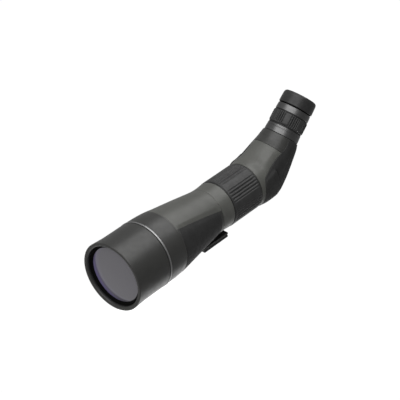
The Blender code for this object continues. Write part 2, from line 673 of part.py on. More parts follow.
def rod_at(name, radius, start, end, place):
    """A round cutter along the place's axis."""
    return turned(name, [(start, 0), (start, radius), (end, radius), (end, 0)], place, None,
                  STEPS_SMALL)


def straight_key(name, half_width, inner, outer, low, high, place):
    """A box cutter that runs along the place's +Z, at the given radii on its +X side."""
    shape = bmesh.new()
    bmesh.ops.create_cube(shape, size=1.0)
    size = Vector((outer - inner, 2 * half_width, high - low)) * MM
    middle = Vector(((outer + inner) / 2, 0, (high + low) / 2)) * MM
    bmesh.ops.scale(shape, vec=size, verts=shape.verts)
    bmesh.ops.translate(shape, vec=middle, verts=shape.verts)
    mesh = bpy.data.meshes.new(name)
    shape.to_mesh(mesh)
    shape.free()
    return add_mesh(name, mesh, place, None)


def make_zoom_optics(body):
    cam = ring("zoom_cam_tube", 48.0, 92.0, 16.0, 17.9, EYE, "black_metal")
    zoom_group(body, cam, "front", 56.0, FRONT_ZOOM_TRAVEL, radians(180), (60.0, 90.0))
    zoom_group(body, cam, "rear", 80.0, REAR_ZOOM_TRAVEL, radians(250), (-90.0, 70.0))
    key_place = EYE @ Matrix.Translation((0, 0, KEY_REACH * MM)) @ Matrix.Rotation(pi / 2, 4, "Y")
    combine(cam, rod_at("cam_key_hole", 1.5, 15.0, 19.0, key_place), "DIFFERENCE")


def make_eye_lenses():
    ring("field_stop", 93.0, 96.2, 13.0, 18.0, EYE, "black_metal")
    lens("field_lens", 98.2, 102.2, 15.9, 50.0, 80.0, EYE)
    ring("field_lens_retainer", 103.0, 107.2, 14.2, 15.9, EYE, "black_metal")
    lens("eye_lens", 108.8, 112.8, 17.7, 90.0, 60.0, EYE)
    ring("eye_lens_retainer", 113.7, 116.7, 16.2, 17.7, EYE, "black_metal")


def make_eyecup():
    ring("eyecup_guide_ring", 104.2, 107.2, 20.2, 21.3, EYE, "black_metal", STEPS_EYE)
    turned("eyecup_sleeve", [(102.6, 21.7), (102.6, 24.0), (103.5, 24.0), (103.5, 23.1),
                             (120.2, 23.1), (120.2, 20.3), (109.6, 20.3), (109.6, 21.7)],
           EYE, "black_metal", STEPS_EYE)
    turned("eyecup_rubber", [(103.8, 23.4), (103.8, 25.5), (104.3, 25.8), (118.3, 25.3),
                             (120.9, 24.4), (122.3, 22.6), (122.3, 19.0), (121.4, 18.0),
                             (120.5, 18.0), (120.5, 23.4)], EYE, "grip_rubber", STEPS_EYE)


def build():
    make_sunshade()
    make_objective()
    make_main_barrel()
    make_rear_barrel()
    make_focus_ring()
    make_focus_carriage()
    make_foot()
    make_prism_housing()
    make_prism()
    body = make_eyepiece_body()
    make_zoom_ring(body)
    make_zoom_optics(body)
    make_eye_lenses()
    make_eyecup()


build()
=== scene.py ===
"""Looks of the angled spotting scope, built round its CAD frame.

Row frame: +Z up, metres. Dimensions here are millimetres. A "station" is a distance behind the front
rim along the main axis, a "reach" is a distance along the eyepiece axis, and a "turn" is an angle
round either axis, from straight up towards +X.
"""

from math import radians

import bmesh
import bpy
import numpy as np
from mathutils import Matrix, Vector


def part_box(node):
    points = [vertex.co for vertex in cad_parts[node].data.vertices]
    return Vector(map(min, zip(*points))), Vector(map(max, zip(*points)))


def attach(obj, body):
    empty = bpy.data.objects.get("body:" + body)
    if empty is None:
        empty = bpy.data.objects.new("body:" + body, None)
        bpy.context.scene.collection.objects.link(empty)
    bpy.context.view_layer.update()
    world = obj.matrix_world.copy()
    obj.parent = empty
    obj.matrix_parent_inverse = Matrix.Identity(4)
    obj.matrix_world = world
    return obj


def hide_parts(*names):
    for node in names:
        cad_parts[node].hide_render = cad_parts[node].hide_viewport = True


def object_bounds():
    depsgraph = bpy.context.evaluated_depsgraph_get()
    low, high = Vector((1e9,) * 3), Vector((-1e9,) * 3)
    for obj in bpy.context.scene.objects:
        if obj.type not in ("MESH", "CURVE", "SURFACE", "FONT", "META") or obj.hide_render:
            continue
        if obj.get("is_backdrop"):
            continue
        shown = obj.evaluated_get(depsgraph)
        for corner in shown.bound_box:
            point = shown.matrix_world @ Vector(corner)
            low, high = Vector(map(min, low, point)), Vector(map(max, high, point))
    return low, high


MM = 0.001

AXIS_HEIGHT = 48.5
FOOT_STATION = 192.0
EYE_STATION = 314.55
EYE_HEIGHT = 1.35
RIGHT = np.array([1.0, 0.0, 0.0])


class Axis:
    """A line that stations or reaches are measured along, with the direction that a turn starts from."""

    def __init__(self, origin, along, up):
        self.origin = np.array(origin)
        self.along = np.array(along) / np.linalg.norm(along)
        self.up = np.array(up) / np.linalg.norm(up)

    def place(self, along, radius, turn):
        """Points in the row frame, in millimetres, for arrays that broadcast together."""
        along, radius, turn = np.broadcast_arrays(along, radius, turn)
        across = radius * np.sin(turn)
        lift = radius * np.cos(turn)
        return (self.origin + along[..., None] * self.along
                + across[..., None] * RIGHT + lift[..., None] * self.up)


MAIN = Axis((0, -FOOT_STATION, AXIS_HEIGHT), (0, 1, 0), (0, 0, 1))
EYE = Axis((0, EYE_STATION - FOOT_STATION, AXIS_HEIGHT + EYE_HEIGHT), (0, 1, 1), (0, -1, 1))


# Meshes -----------------------------------------------------------------------------------------

def smooth_step(value, start, end):
    """0 before start and 1 after end, with a smooth rise between them."""
    share = np.clip((value - start) / (end - start), 0, 1)
    return share * share * (3 - 2 * share)


def mesh_piece(name, points, faces, body, slot, materials, face_materials=None, sharp=40):
    """A closed outward mesh, made from points in millimetres, that rides on a body."""
    mesh = bpy.data.meshes.new(name)
    mesh.from_pydata((np.asarray(points).reshape(-1, 3) * MM).tolist(), [], faces)
    for material in materials:
        mesh.materials.append(material)
    if face_materials is not None:
        mesh.polygons.foreach_set("material_index", face_materials)
    work = bmesh.new()
    work.from_mesh(mesh)
    bmesh.ops.remove_doubles(work, verts=work.verts, dist=1e-7)
    bmesh.ops.recalc_face_normals(work, faces=work.faces)
    work.to_mesh(mesh)
    work.free()
    mesh.shade_smooth()
    mesh.set_sharp_from_angle(angle=radians(sharp))
    piece = bpy.data.objects.new(name, mesh)
    bpy.context.scene.collection.objects.link(piece)
    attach(piece, body)
    return piece


def grid_faces(rows, columns, wrap_rows, wrap_columns, start=0):
    """Quads of a grid of points, numbered row by row."""
    faces = []
    for row in range(rows if wrap_rows else rows - 1):
        below = (row + 1) % rows
        for column in range(columns if wrap_columns else columns - 1):
            right = (column + 1) % columns
            faces.append((start + row * columns + column, start + row * columns + right,
                          start + below * columns + right, start + below * columns + column))
    return faces


def softened(outline, cut=0.3, count=3, least_turn=18):
    """A closed outline with its corners rounded, and a point beside each so that its flats stay flat."""
    outline = [np.array(p, float) for p in outline]
    points = []
    for index, corner in enumerate(outline):
        before = outline[index - 1] - corner
        after = outline[(index + 1) % len(outline)] - corner
        room_before, room_after = np.linalg.norm(before), np.linalg.norm(after)
        before, after = before / room_before, after / room_after
        bend = 180 - np.degrees(np.arccos(np.clip(before @ after, -1, 1)))
        if bend < least_turn:
            points.append(corner)
            continue
        size = min(cut, 0.4 * room_before, 0.4 * room_after)
        first, last = corner + before * size, corner + after * size
        points.append(corner + before * min(size * 1.6, 0.45 * room_before))
        for step in range(count + 1):
            t = step / count
            points.append(first * (1 - t) ** 2 + corner * 2 * t * (1 - t) + last * t ** 2)
        points.append(corner + after * min(size * 1.6, 0.45 * room_after))
    return np.array(points)


def finely(outline, longest):
    """A closed outline with its long runs divided."""
    points = []
    for index, point in enumerate(outline):
        step = outline[(index + 1) % len(outline)] - point
        count = max(1, int(np.ceil(np.linalg.norm(step) / longest)))
        points.extend(point + step * k / count for k in range(count))
    return np.array(points)


def round_corner(corner, before, after, cut, count=6):
    """A corner of a line, replaced by a curve that starts and ends a cut away from it."""
    corner, before, after = (np.array(p, float) for p in (corner, before, after))
    first = corner + (before - corner) / np.linalg.norm(before - corner) * cut
    last = corner + (after - corner) / np.linalg.norm(after - corner) * cut
    ts = np.linspace(0, 1, count + 1)[:, None]
    return first * (1 - ts) ** 2 + corner * 2 * ts * (1 - ts) + last * ts ** 2


def rounded_outline(corners, cuts, longest=3.0):
    """A closed outline with each corner rounded by its own cut, and its long runs divided."""
    points = []
    for index, corner in enumerate(corners):
        after = corners[(index + 1) % len(corners)]
        points.extend(round_corner(corner, corners[index - 1], after, cuts[index]))
    return finely(np.array(points), longest)


def turned(name, axis, outline, body, slot, materials, steps=160, cut=0.3, relief=None, longest=None,
           count=3):
    """A ring: a closed outline of (along, radius) points carried round an axis.

    relief(along, turn) is how far the outer surface sinks, on points further out than the middle."""
    points = softened(outline, cut, count)
    if longest:
        points = finely(points, longest)
    along, radius = points[:, 0][:, None], points[:, 1][:, None]
    turns = np.linspace(0, 2 * np.pi, steps, endpoint=False)[None, :]
    if relief:
        middle = (radius.min() + radius.max()) / 2
        radius = radius - relief(along, turns) * smooth_step(radius, middle, radius.max() - 0.6)
    grid = axis.place(along, radius, turns)
    faces = grid_faces(len(points), steps, True, True)
    return mesh_piece(name, grid, faces, body, slot, materials)


def disc(name, axis, outline, body, slot, materials, steps=128):
    """A solid of revolution that reaches its axis, from an outline that starts and ends on it."""
    outline = np.array(outline, float)
    turns = np.linspace(0, 2 * np.pi, steps, endpoint=False)[None, :]
    inner = outline[1:-1]
    grid = axis.place(inner[:, 0][:, None], inner[:, 1][:, None], turns).reshape(-1, 3)
    poles = axis.place(outline[[0, -1], 0], np.zeros(2), np.zeros(2))
    faces = grid_faces(len(inner), steps, False, True)
    first, last = len(grid), len(grid) + 1
    bottom = (len(inner) - 1) * steps
    for k in range(steps):
        after = (k + 1) % steps
        faces.append((first, after, k))
        faces.append((last, bottom + k, bottom + after))
    return mesh_piece(name, np.vstack([grid, poles]), faces, body, slot, materials)


def patch(name, surface, outline, low, high, edge, body, slot, materials, rings=18):
    """A panel that lies on a surface(u, v, lift), with the outline of its (u, v) points.

    It goes from lift low to lift high, and its upper edge is rounded over a width of edge."""
    outline = np.array(outline, float)
    centre = outline.mean(0)
    reach = np.linalg.norm(outline - centre, axis=1).mean()
    levels = [(1.0, low), (1.0, high - edge)]
    for angle in np.linspace(0, np.pi / 2, 5)[1:]:
        levels.append((1 - edge * (1 - np.cos(angle)) / reach, high - edge * (1 - np.sin(angle))))
    levels.extend((share, high) for share in np.linspace(levels[-1][0] - 0.01, 0.06, rings))
    grid = [surface(*(centre + (outline - centre) * share).T, lift) for share, lift in levels]
    under = [surface(*(centre + (outline - centre) * share).T, low)
             for share in np.linspace(0.1, 0.9, rings // 2)]
    rows = np.array(under + grid)
    count = len(outline)
    faces = grid_faces(len(rows), count, False, True)
    faces.append(tuple(range(count)))
    faces.append(tuple(range((len(rows) - 1) * count, len(rows) * count)))
    return mesh_piece(name, rows, faces, body, slot, materials)


# Materials --------------------------------------------------------------------------------------

def fill_ramp(ramp, stops):
    """Gives a colour ramp its stops, each a position and a colour."""
    elements = ramp.color_ramp.elements
    for element, (position, color) in ((elements[0], stops[0]), (elements[1], stops[-1])):
        element.position = position
        element.color = (*color, 1)
    for position, color in stops[1:-1]:
        elements.new(position).color = (*color, 1)


class Material:
    """A Principled surface whose grain comes from procedural noise in the row frame."""

    def __init__(self, name, color, roughness, metallic=0.0, **sockets):
        self.material = bpy.data.materials.new(name)
        self.material.use_nodes = True
        self.nodes = self.material.node_tree.nodes
        self.links = self.material.node_tree.links
        self.shader = self.nodes["Principled BSDF"]
        self.shader.inputs["Base Color"].default_value = (*color, 1)
        self.shader.inputs["Roughness"].default_value = roughness
        self.shader.inputs["Metallic"].default_value = metallic
        for socket, value in sockets.items():
            self.shader.inputs[socket.replace("_", " ")].default_value = value
        self.material.diffuse_color = (*color, 1)
        self.normal = None

    def coordinates(self, stretch=(1, 1, 1)):
        place = self.nodes.new("ShaderNodeTexCoord")
        scale = self.nodes.new("ShaderNodeMapping")
        scale.inputs["Scale"].default_value = stretch
        self.links.new(place.outputs["Object"], scale.inputs["Vector"])
        return scale.outputs["Vector"]

    def noise(self, scale, detail=3, stretch=(1, 1, 1)):
        noise = self.nodes.new("ShaderNodeTexNoise")
        noise.inputs["Scale"].default_value = scale
        noise.inputs["Detail"].default_value = detail
        self.links.new(self.coordinates(stretch), noise.inputs["Vector"])
        return noise.outputs["Fac"]

    def bump(self, height, strength, distance):
        bump = self.nodes.new("ShaderNodeBump")
        bump.inputs["Strength"].default_value = strength
        bump.inputs["Distance"].default_value = distance * MM
        self.links.new(height, bump.inputs["Height"])
        if self.normal:
            self.links.new(self.normal, bump.inputs["Normal"])
        self.normal = bump.outputs["Normal"]
        self.links.new(self.normal, self.shader.inputs["Normal"])
        return self

    def vary(self, socket, factor, low, high):
        """The socket goes from low to high with the factor."""
        spread = self.nodes.new("ShaderNodeMapRange")
        spread.inputs["To Min"].default_value = low
        spread.inputs["To Max"].default_value = high
        spread.inputs["From Min"].default_value = 0.3
        spread.inputs["From Max"].default_value = 0.7
        self.links.new(factor, spread.inputs["Value"])
        self.links.new(spread.outputs["Result"], self.shader.inputs[socket])
        return self

    def tint(self, factor, low, high):
        """The base colour goes from low to high with the factor."""
        ramp = self.nodes.new("ShaderNodeValToRGB")
        fill_ramp(ramp, ((0.35, low), (0.65, high)))
        self.links.new(factor, ramp.inputs["Fac"])
        self.links.new(ramp.outputs["Color"], self.shader.inputs["Base Color"])
        return self


def grey(level, warm=1.0):
    return (level, level, level * warm)


def scaled(color, share):
    return tuple(c * share for c in color)


def paint(name, color, roughness):
    """Satin paint: a fine orange-peel bump, and a little variation in gloss and colour."""
    made = Material(name, color, roughness)
    made.bump(made.noise(2600, 2), 0.12, 0.03)
    made.vary("Roughness", made.noise(160, 4), roughness - 0.04, roughness + 0.05)
    made.tint(made.noise(60, 5), scaled(color, 0.93), scaled(color, 1.07))
    return made.material


def rubber(name, color, roughness, grain=0.25, shine=0.35):
    """Moulded rubber: a pebbled grain over broader unevenness."""
    made = Material(name, color, roughness, Specular_IOR_Level=shine)
    made.bump(made.noise(1500, 4), grain, 0.08)
    made.vary("Roughness", made.noise(220, 4), roughness - 0.07, roughness + 0.07)
    made.tint(made.noise(90, 5), scaled(color, 0.85), scaled(color, 1.18))
    return made.material


def metal(name, color, roughness, stretch=(1, 1, 1), scale=1800):
    """Machined metal, with fine marks drawn out along the stretch."""
    made = Material(name, color, roughness, metallic=1.0)
    made.bump(made.noise(scale, 3, stretch), 0.10, 0.02)
    made.vary("Roughness", made.noise(300, 4, stretch), roughness - 0.05, roughness + 0.06)
    return made.material


# The coating's gradient, which paints a violet glint on the lens's lower left rim: its centre, its reach,
# and its colours from the reach, at 0, to the centre, at 1.
PAINTED_GLINT_CENTRE = (0.014, (5.5 - FOOT_STATION) * MM, (AXIS_HEIGHT + 10) * MM)
PAINTED_GLINT_REACH = 0.062
PAINTED_GLINT_STOPS = ((0.0, (0.26, 0.22, 0.50)), (0.12, (0.32, 0.28, 0.51)), (0.22, (0.215, 0.205, 0.25)),
                 (0.34, (0.195, 0.19, 0.205)))


def coating_and_painted_glint():
    """The objective's coating, with a painted violet glint towards the rim's lower left, seen from in front.
    """
    made = Material("coating_and_painted_glint", (0.36, 0.35, 0.38), 0.06, metallic=0.65)
    gradient = made.nodes.new("ShaderNodeTexGradient")
    gradient.gradient_type = "SPHERICAL"
    place = made.coordinates()
    mapping = place.node
    mapping.vector_type = "TEXTURE"
    mapping.inputs["Location"].default_value = PAINTED_GLINT_CENTRE
    mapping.inputs["Scale"].default_value = (PAINTED_GLINT_REACH,) * 3
    made.links.new(place, gradient.inputs["Vector"])
    ramp = made.nodes.new("ShaderNodeValToRGB")
    fill_ramp(ramp, PAINTED_GLINT_STOPS)
    made.links.new(gradient.outputs["Fac"], ramp.inputs["Fac"])
    made.links.new(ramp.outputs["Color"], made.shader.inputs["Base Color"])
    made.vary("Roughness", made.noise(30, 2), 0.04, 0.08)
    return made.material


def dark_glass():
    """The eye lens and the inner lenses: coated glass, opaque and near black as painted shade of the dark
    interior behind it.
    """
    made = Material("dark_glass", (0.010, 0.011, 0.016), 0.04, IOR=1.9, Coat_Weight=0.6)
    made.shader.inputs["Coat Tint"].default_value = (0.75, 0.80, 1.0, 1)
    made.vary("Roughness", made.noise(40, 2), 0.03, 0.06)
    return made.material


CHARCOAL = (0.0212, 0.0212, 0.0198)
OLIVE = (0.062, 0.063, 0.057)
SURFACES = {
    "charcoal_metal": paint("charcoal_paint", CHARCOAL, 0.36),
    "olive_paint": paint("olive_paint", OLIVE, 0.38),
    "black_metal": paint("black_anodised", grey(0.010), 0.45),
    "bright_metal": metal("bright_metal", grey(0.13), 0.34),
    "armour_rubber": rubber("armour_rubber", grey(0.014), 0.66),
    "grip_rubber": rubber("grip_rubber", grey(0.021), 0.42, 0.12),
    "seal_rubber": rubber("soft_rubber", grey(0.016), 0.40, 0.10),
    "steel": metal("steel", grey(0.50), 0.28),
    "spring_steel": metal("spring_steel", grey(0.36), 0.33, (1, 0.2, 1)),
    "glass": dark_glass(),
}
COATING_AND_PAINTED_GLINT = coating_and_painted_glint()
TRIM = metal("polished_trim", grey(0.30), 0.40)
# Near-black baffle finish; on the eyecup's core it also darkens the gap under the cup as painted shade.
BAFFLE_BLACK_AND_GAP_SHADE = rubber("baffle_black_and_gap_shade", grey(0.002), 0.75, 0.35, 0.06)
LIGHT_MARK = paint("marking_white", grey(0.55), 0.5)
DARK_MARK = paint("marking_dark", grey(0.004), 0.5)


def made_of(slot):
    """The slot's name and its surface, as the arguments that a piece takes."""
    return slot, [SURFACES[slot]]


# Front: sunshade, objective and trim ring -------------------------------------------------------

def make_sunshade():
    """The sliding sleeve: a rolled lip, a plain outside and a bore that steps in behind the lip."""
    shell = [(0.5, 46.1), (0.0, 46.9), (0.0, 49.6), (0.25, 50.2), (0.9, 50.6), (6.0, 50.3), (22.0, 49.4),
             (60.6, 49.3), (61.4, 48.7), (61.4, 48.2), (56.6, 48.2), (56.6, 47.6), (3.5, 47.6), (3.5, 45.0),
             (1.2, 45.25)]
    piece = turned("sunshade_shell", MAIN, shell, "sunshade", *made_of("charcoal_metal"),
                   steps=192, cut=0.4, longest=6)
    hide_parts("sunshade")


def make_objective():
    """The tube that the sunshade slides on, the stepped black ring in front, and the front lens."""
    cell = [(4.0, 45.0), (4.0, 47.2), (16.0, 47.2), (16.0, 45.9), (19.0, 45.9), (19.0, 47.2), (28.0, 47.2),
            (28.0, 46.3), (69.8, 46.3), (69.8, 45.2), (72.2, 45.2), (72.2, 46.3), (76.0, 46.3), (76.0, 43.6),
            (24.0, 43.6), (20.7, 42.4), (20.7, 45.0)]
    piece = turned("objective_cell_tube", MAIN, cell, "scope", *made_of("black_metal"), steps=160, cut=0.2)
    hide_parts("objective_cell")
    face = [(4.3, 43.3), (4.3, 44.7), (4.9, 44.7), (4.9, 43.1), (4.7, 43.0)]
    inside = ("scope", "black_metal", [BAFFLE_BLACK_AND_GAP_SHADE])
    turned("objective_bezel", MAIN, face, *inside, steps=192, cut=0.1)
    ring = [(5.0, 42.9), (5.0, 44.7), (7.3, 44.7), (7.3, 40.6), (6.9, 40.6), (6.8, 41.1), (6.3, 41.1),
            (6.2, 41.7), (5.7, 41.7), (5.6, 42.3), (5.1, 42.3)]
    piece = turned("objective_baffle_ring", MAIN, ring, *inside, steps=192, cut=0.1)
    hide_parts("objective_retaining_ring")
    piece = disc("objective_lens_painted_glint", MAIN, lens_profile(), "scope", "glass", [COATING_AND_PAINTED_GLINT], steps=160)
    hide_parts("objective_front_lens")


def lens_profile():
    """The front lens's outline, from its bulge's middle round the rim to the rear face's middle."""
    edge_radius, bulge, edge_front = 44.6, 330.0, 8.3
    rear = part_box("objective_front_lens")[1].y / MM + FOOT_STATION
    radii = np.linspace(0, edge_radius - 0.3, 22)
    rise = np.sqrt(bulge ** 2 - radii ** 2) - np.sqrt(bulge ** 2 - edge_radius ** 2)
    front = [(edge_front - r, radius) for r, radius in zip(rise, radii)]
    front[-1] = (edge_front + 0.05, edge_radius - 0.3)
    back = [(rear, radius) for radius in np.linspace(edge_radius - 0.3, 0, 8)]
    return front + [(edge_front + 0.35, edge_radius), (rear - 0.35, edge_radius)] + back


def make_trim_ring():
    """The bright ring behind the sunshade."""
    outline = [(61.9, 46.7), (61.9, 49.3), (62.2, 49.7), (64.3, 49.7), (64.6, 49.3), (64.6, 46.7)]
    piece = turned("trim_ring_polished", MAIN, outline, "scope", "bright_metal", [TRIM], steps=192, cut=0.2)
    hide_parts("trim_ring")


# Barrel -----------------------------------------------------------------------------------------

BARREL_CORNERS = ((64.8, 49.2), (89.0, 49.2), (150.0, 40.25), (192.0, 33.95), (212.2, 35.2))
SHOULDER_CUT = 20.0      # how far from their corners the rounding of the shoulder and of the waist starts
WAIST_CUT = 12.0
COLLAR_END = 96.7
PANEL_FRONT = 97.0
PANEL_REAR = 184.5
CREASE = 25.5
UPPER_EDGE = 29.7
LOWER_EDGE = 20.0
BEARING_RADIUS = 31.2    # the tube behind the barrel that carries the focus ring, and where it ends
TUBE_END = 281.0
TOP_COUNTS = (22, 7)     # points from the top line to the crease, and from there to the panel's edge


def barrel_line():
    """The barrels' outer line: a straight collar, a taper, and a flare to the focus ring."""
    front, shoulder, taper, waist, rear = BARREL_CORNERS
    return np.vstack([front, round_corner(shoulder, front, taper, SHOULDER_CUT, 24), taper,
                      round_corner(waist, taper, rear, WAIST_CUT, 24), rear])


BARREL_LINE = barrel_line()


def barrel_radius(station):
    """The barrels' outer radius."""
    return np.interp(station, BARREL_LINE[:, 0], BARREL_LINE[:, 1])


def edge_turn(station, half_width, below=False):
    """The turn where the barrel's surface is half_width from the plane of symmetry."""
    turn = np.arcsin(np.clip(half_width / barrel_radius(station), -1, 1))
    return np.pi - turn if below else turn


def barrel_sink(station, turn):
    """How far the surface lies under the plain turned one: the bevel beside the top panel, and grooves."""
    across = np.abs(barrel_radius(station) * np.sin(turn))
    upper = np.cos(turn) > 0
    along = smooth_step(station, 97.5, 106) * (1 - smooth_step(station, 178, 186))
    bevel = np.clip((across - CREASE) / (UPPER_EDGE - CREASE), 0, 1) * 1.15
    past = 1 - smooth_step(across, UPPER_EDGE + 3, UPPER_EDGE + 9)
    groove = 0.35 * np.exp(-((station - COLLAR_END) / 0.35) ** 2)
    return np.where(upper, bevel * past * along, 0) + groove


def make_barrel():
    """The front casting, with a painted top panel, and the band and tube behind it."""
    stations = np.concatenate([
        [64.8, 64.9, 65.2, 65.8], np.linspace(67, 95.6, 16),
        [96.0, 96.3, 96.5, 96.7, 96.9, 97.1, 97.4, 97.8],
        np.linspace(99, 187.4, 52), [188.4, 189.0, 189.3, 189.4]])
    chamfer = np.interp(stations, [64.8, 65.2, 65.8, 188.8, 189.2, 189.4], [0.4, 0.06, 0, 0, 0.08, 0.35])
    half = []
    for station in stations:
        stops = [0, edge_turn(station, CREASE), edge_turn(station, UPPER_EDGE),
                 edge_turn(station, LOWER_EDGE, True), np.pi]
        counts = (*TOP_COUNTS, 26, 10)
        half.append(np.concatenate([np.linspace(a, b, n, endpoint=False)
                                    for a, b, n in zip(stops, stops[1:], counts)] + [[np.pi]]))
    half = np.array(half)
    turns = np.hstack([half, -half[:, -2:0:-1]])
    where = np.repeat(stations[:, None], turns.shape[1], 1)
    radius = barrel_radius(where) - barrel_sink(where, turns) - chamfer[:, None]
    outer = MAIN.place(where, radius, turns)
    inner = MAIN.place(where, barrel_radius(where) - 3.0, turns)[::-1]
    rows, columns = len(stations) * 2, turns.shape[1]
    faces = grid_faces(rows, columns, True, True)
    kinds = []
    for row in range(rows):
        station = stations[min(row, rows - 1 - row)]
        for column in range(columns):
            place = min(column, columns - 1 - column)
            kinds.append(int(place < sum(TOP_COUNTS) and station >= COLLAR_END - 0.1))
    piece = mesh_piece("main_barrel_shell", np.vstack([outer, inner]), faces, "scope", "charcoal_metal",
                       [SURFACES["charcoal_metal"], SURFACES["olive_paint"]], kinds, sharp=25)
    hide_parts("main_barrel")
    band = [(189.7, 27.8), (189.7, 34.0), (190.1, 34.33)]
    band += [(s, float(barrel_radius(s))) for s in np.linspace(191, 211, 14)]
    band += [(211.8, 35.1), (212.2, 34.8), (212.2, BEARING_RADIUS)]
    band += [(TUBE_END, BEARING_RADIUS), (TUBE_END, 27.8)]
    piece = turned("rear_barrel_band", MAIN, band, "scope", *made_of("olive_paint"), steps=176, cut=0.15)
    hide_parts("rear_barrel")


PANEL_GIRTH = 70.0       # units down a panel, from its upper edge to its lower one
PANEL_SINK = 0.25        # how far a lift of 0 lies under the barrel's line
PANEL_BEVEL = 0.9        # how much deeper its upper edge lies, beside the shell's bevel


def make_grip_panels():
    """The rubber panels let into both sides of the barrel."""
    def surface(side):
        def place(u, v, lift):
            top, low = edge_turn(u, UPPER_EDGE), edge_turn(u, LOWER_EDGE, True)
            share = v / PANEL_GIRTH
            turn = top + (low - top) * share
            radius = barrel_radius(u) - PANEL_SINK + lift
            radius = radius - PANEL_BEVEL * (1 - smooth_step(v, 0, 7))
            return MAIN.place(u, radius, side * turn)
        return place

    front, rear = PANEL_FRONT + 0.4, PANEL_REAR - 0.4
    high, low = 0.3, PANEL_GIRTH - 0.3
    corners = ((PANEL_FRONT + 3.0, high), (rear, high), (PANEL_REAR, PANEL_GIRTH / 2), (rear, low),
               (front, low), (front, 12.0))
    outline = rounded_outline(corners, (2.0, 7.0, 3.0, 5.0, 5.0, 5.0))
    for name, side in (("right", 1), ("left", -1)):
        piece = patch("side_grip_" + name, surface(side), outline, -1.0, 0.5, 0.6, "scope",
                      *made_of("armour_rubber"), rings=26)
        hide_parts("grip_panel_" + name)


# Ribbed rings -----------------------------------------------------------------------------------

def ribs(turn, centre, spread, pitch, groups=7):
    """0 on a ring's plain skin and 1 at the bottom of a groove, for groups of grooves round the ring."""
    period = 2 * np.pi / groups
    offset = (turn - radians(centre) + period / 2) % period - period / 2
    wave = 0.5 + 0.5 * np.cos(2 * np.pi * offset / radians(pitch))
    inside = 1 - smooth_step(np.abs(offset), radians(spread - pitch * 0.35), radians(spread + pitch * 0.15))
    return wave ** 2.2 * inside


def make_focus_ring():
    """The full-body ring: a sleeve, and a rubber grip with groups of grooves."""
    def grooves(along, turn):
        ends = smooth_step(along, 214.6, 217.6) * (1 - smooth_step(along, 267.8, 270.8))
        return 1.3 * ribs(turn, 46.8, 16.0, 7.75) * ends

    sleeve = [(212.7, 31.6), (212.7, 34.9), (213.6, 34.9), (213.6, 33.9), (271.7, 33.9), (271.7, 34.9),
              (272.6, 34.9), (272.6, 31.6)]
    piece = turned("focus_ring_core", MAIN, sleeve, "focus_ring", *made_of("black_metal"), cut=0.15)
    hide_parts("focus_ring_sleeve")
    grip = [(213.9, 34.0), (213.9, 35.1), (214.9, 35.7), (270.4, 35.7), (271.4, 35.1), (271.4, 34.0)]
    piece = turned("focus_ring_ribbed_grip", MAIN, grip, "focus_ring", *made_of("grip_rubber"), steps=560,
                   cut=0.5, relief=grooves, longest=3.5)
    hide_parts("focus_ring_grip")


def make_zoom_ring():
    """The eyepiece's ring: a sleeve, and a rubber grip with groups of deeper grooves."""
    def grooves(along, turn):
        ends = smooth_step(along, 73.0, 75.4) * (1 - smooth_step(along, 89.0, 91.0))
        return 1.7 * ribs(turn, 48.9, 16.0, 7.4) * ends

    sleeve = [(71.3, 22.7), (71.3, 25.2), (72.2, 25.2), (72.2, 24.2), (91.2, 24.2), (91.2, 25.2), (92, 25.2),
              (92, 22.7)]
    piece = turned("zoom_ring_core", EYE, sleeve, "zoom_ring", *made_of("black_metal"), steps=144, cut=0.15)
    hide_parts("zoom_ring_sleeve")
    grip = [(72.5, 24.3), (72.5, 25.0), (73.2, 25.8), (75.0, 26.3), (89.6, 26.3), (90.9, 25.7),
            (90.9, 24.3)]
    piece = turned("zoom_ring_ribbed_grip", EYE, grip, "zoom_ring", *made_of("grip_rubber"), steps=504,
                   cut=0.6, relief=grooves, longest=1.6)
    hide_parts("zoom_ring_grip")


# Housing and its rubber armour ------------------------------------------------------------------

def collar_section(reach, radius):
    """A round section square to the eyepiece axis, as a row of SECTIONS."""
    slope = np.sqrt(0.5)
    station, height = EYE_STATION + reach * slope, EYE_HEIGHT + reach * slope
    return (station - radius * slope, height + radius * slope, station + radius * slope,
            height - radius * slope, radius, 2.0, 2.0)


# Top and bottom points (station, height above the main axis), half width, and the powers that square the
# section's upper and lower halves: 2 is an ellipse.
SECTIONS = np.array([
    (273.3, 35.2, 273.3, -35.2, 35.2, 2.0, 2.0),
    (280.0, 35.7, 284.0, -35.0, 35.3, 2.0, 2.2),
    (286.5, 36.3, 297.0, -34.4, 34.8, 2.35, 2.5),
    (292.0, 37.4, 309.0, -33.4, 34.2, 2.35, 2.7),
    (297.0, 39.2, 319.0, -31.2, 33.8, 2.35, 2.8),
    (302.0, 41.7, 327.0, -27.4, 33.2, 2.35, 2.8),
    (307.0, 44.4, 336.0, -20.4, 32.2, 2.35, 2.7),
    (312.5, 47.4, 345.5, -12.0, 31.0, 2.35, 2.6),
    (318.4, 50.7, 355.4, -0.4, 30.0, 2.2, 2.4),
    (326.5, 54.5, 367.6, 13.3, 29.1, 2.0, 2.0),
    collar_section(50.3, 28.37),
    collar_section(54.3, 27.54),
    collar_section(58.4, 26.7),
])
SECTION_TABLE = np.column_stack([np.arange(len(SECTIONS)), SECTIONS])
LAST = len(SECTIONS) - 1.0


def smooth_curve(table, where):
    """A smooth curve through a table's rows, whose first column is the distance."""
    where = np.asarray(where, float)
    xs = table[:, 0]
    index = np.clip(np.searchsorted(xs, where) - 1, 0, len(xs) - 2)
    slopes = np.gradient(table[:, 1:], xs, axis=0)
    step = (xs[index + 1] - xs[index])
    t = ((where - xs[index]) / step)[..., None]
    step = step[..., None]
    first, last = table[index, 1:], table[index + 1, 1:]
    return (first * (1 + 2 * t) * (1 - t) ** 2 + slopes[index] * step * t * (1 - t) ** 2
            + last * t * t * (3 - 2 * t) + slopes[index + 1] * step * t * t * (t - 1))


TOP_CREASE = 18.5        # |X| of the crease along the painted top
HOUSING_EDGE = 25.5      # and of the armour's upper edge, about


def signed_power(value, power):
    """The power of a value's size, with the value's sign."""
    return np.sign(value) * np.abs(value) ** power


